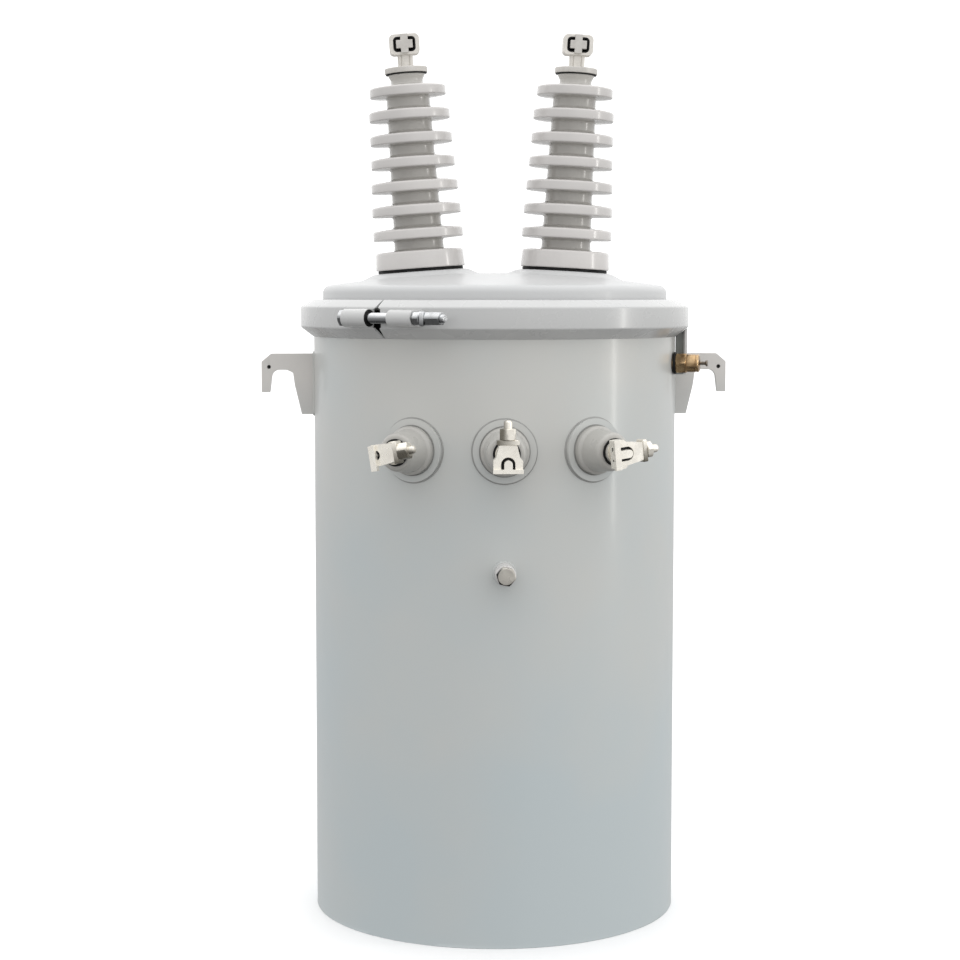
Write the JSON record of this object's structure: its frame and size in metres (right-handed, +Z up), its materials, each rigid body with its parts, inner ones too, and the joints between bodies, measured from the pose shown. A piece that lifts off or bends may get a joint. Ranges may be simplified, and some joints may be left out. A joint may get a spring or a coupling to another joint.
{
  "type": "pole mounted transformer",
  "caption": "Cylindrical pole-mounted transformer with ribbed porcelain bushings on a domed cover, clamp connectors in front, lifting lugs and rear support brackets.",
  "frame": {"origin": "centre of the tank's bottom rim, on the tank axis", "axes": "+Z up along the tank axis, -Y to the front where the low-voltage bushings are, +X to the right seen from the front"},
  "size_m": [0.542, 0.5535, 1.0141],
  "materials": {
    "tank_paint": "smooth semi-gloss light grey enamel",
    "cover_paint": "semi-gloss light grey enamel",
    "ring_paint": "semi-gloss light grey enamel over formed sheet",
    "hv_porcelain": "light grey glaze",
    "lv_glaze": "light grey satin glaze",
    "black_rubber": "black nitrile rubber",
    "cap_metal": "plated cap",
    "tinned_metal": "dull tin plating",
    "zinc_steel": "zinc plating",
    "valve_brass": "turned brass"
  },
  "bodies": {
    "root": {"clamp_ring": "ring_paint", "cover": "cover_paint", "cover_gasket": "black_rubber", "earth_bolt": "zinc_steel", "earth_boss": "tank_paint", "hv_bushing_left": "hv_porcelain", "hv_bushing_right": "hv_porcelain", "hv_cap_left": "cap_metal", "hv_cap_right": "cap_metal", "hv_gasket_left": "black_rubber", "hv_gasket_right": "black_rubber", "hv_keeper_left": "tinned_metal", "hv_keeper_right": "tinned_metal", "hv_seals": "black_rubber", "hv_terminal_left": "tinned_metal", "hv_terminal_right": "tinned_metal", "lifting_lug_left": "tank_paint", "lifting_lug_right": "tank_paint", "lv_bolt_centre": "tinned_metal", "lv_bolt_left": "tinned_metal", "lv_bolt_right": "tinned_metal", "lv_bushing_centre": "lv_glaze", "lv_bushing_left": "lv_glaze", "lv_bushing_right": "lv_glaze", "lv_collar_centre": "tank_paint", "lv_collar_left": "tank_paint", "lv_collar_right": "tank_paint", "lv_seals": "black_rubber", "lv_terminal_centre": "tinned_metal", "lv_terminal_left": "tinned_metal", "lv_terminal_right": "tinned_metal", "lv_tongues": "tinned_metal", "relief_pull": "zinc_steel", "relief_valve": "valve_brass", "relief_washer": "black_rubber", "ring_barrel_left": "ring_paint", "ring_barrel_right": "ring_paint", "ring_bolt": "zinc_steel", "ring_bracket": "tank_paint", "ring_nuts": "zinc_steel", "support_lug_lower": "tank_paint", "support_lug_upper": "tank_paint", "tank_bottom": "tank_paint", "tank_flange": "tank_paint", "tank_wall": "tank_paint"}
  },
  "joints": []
}
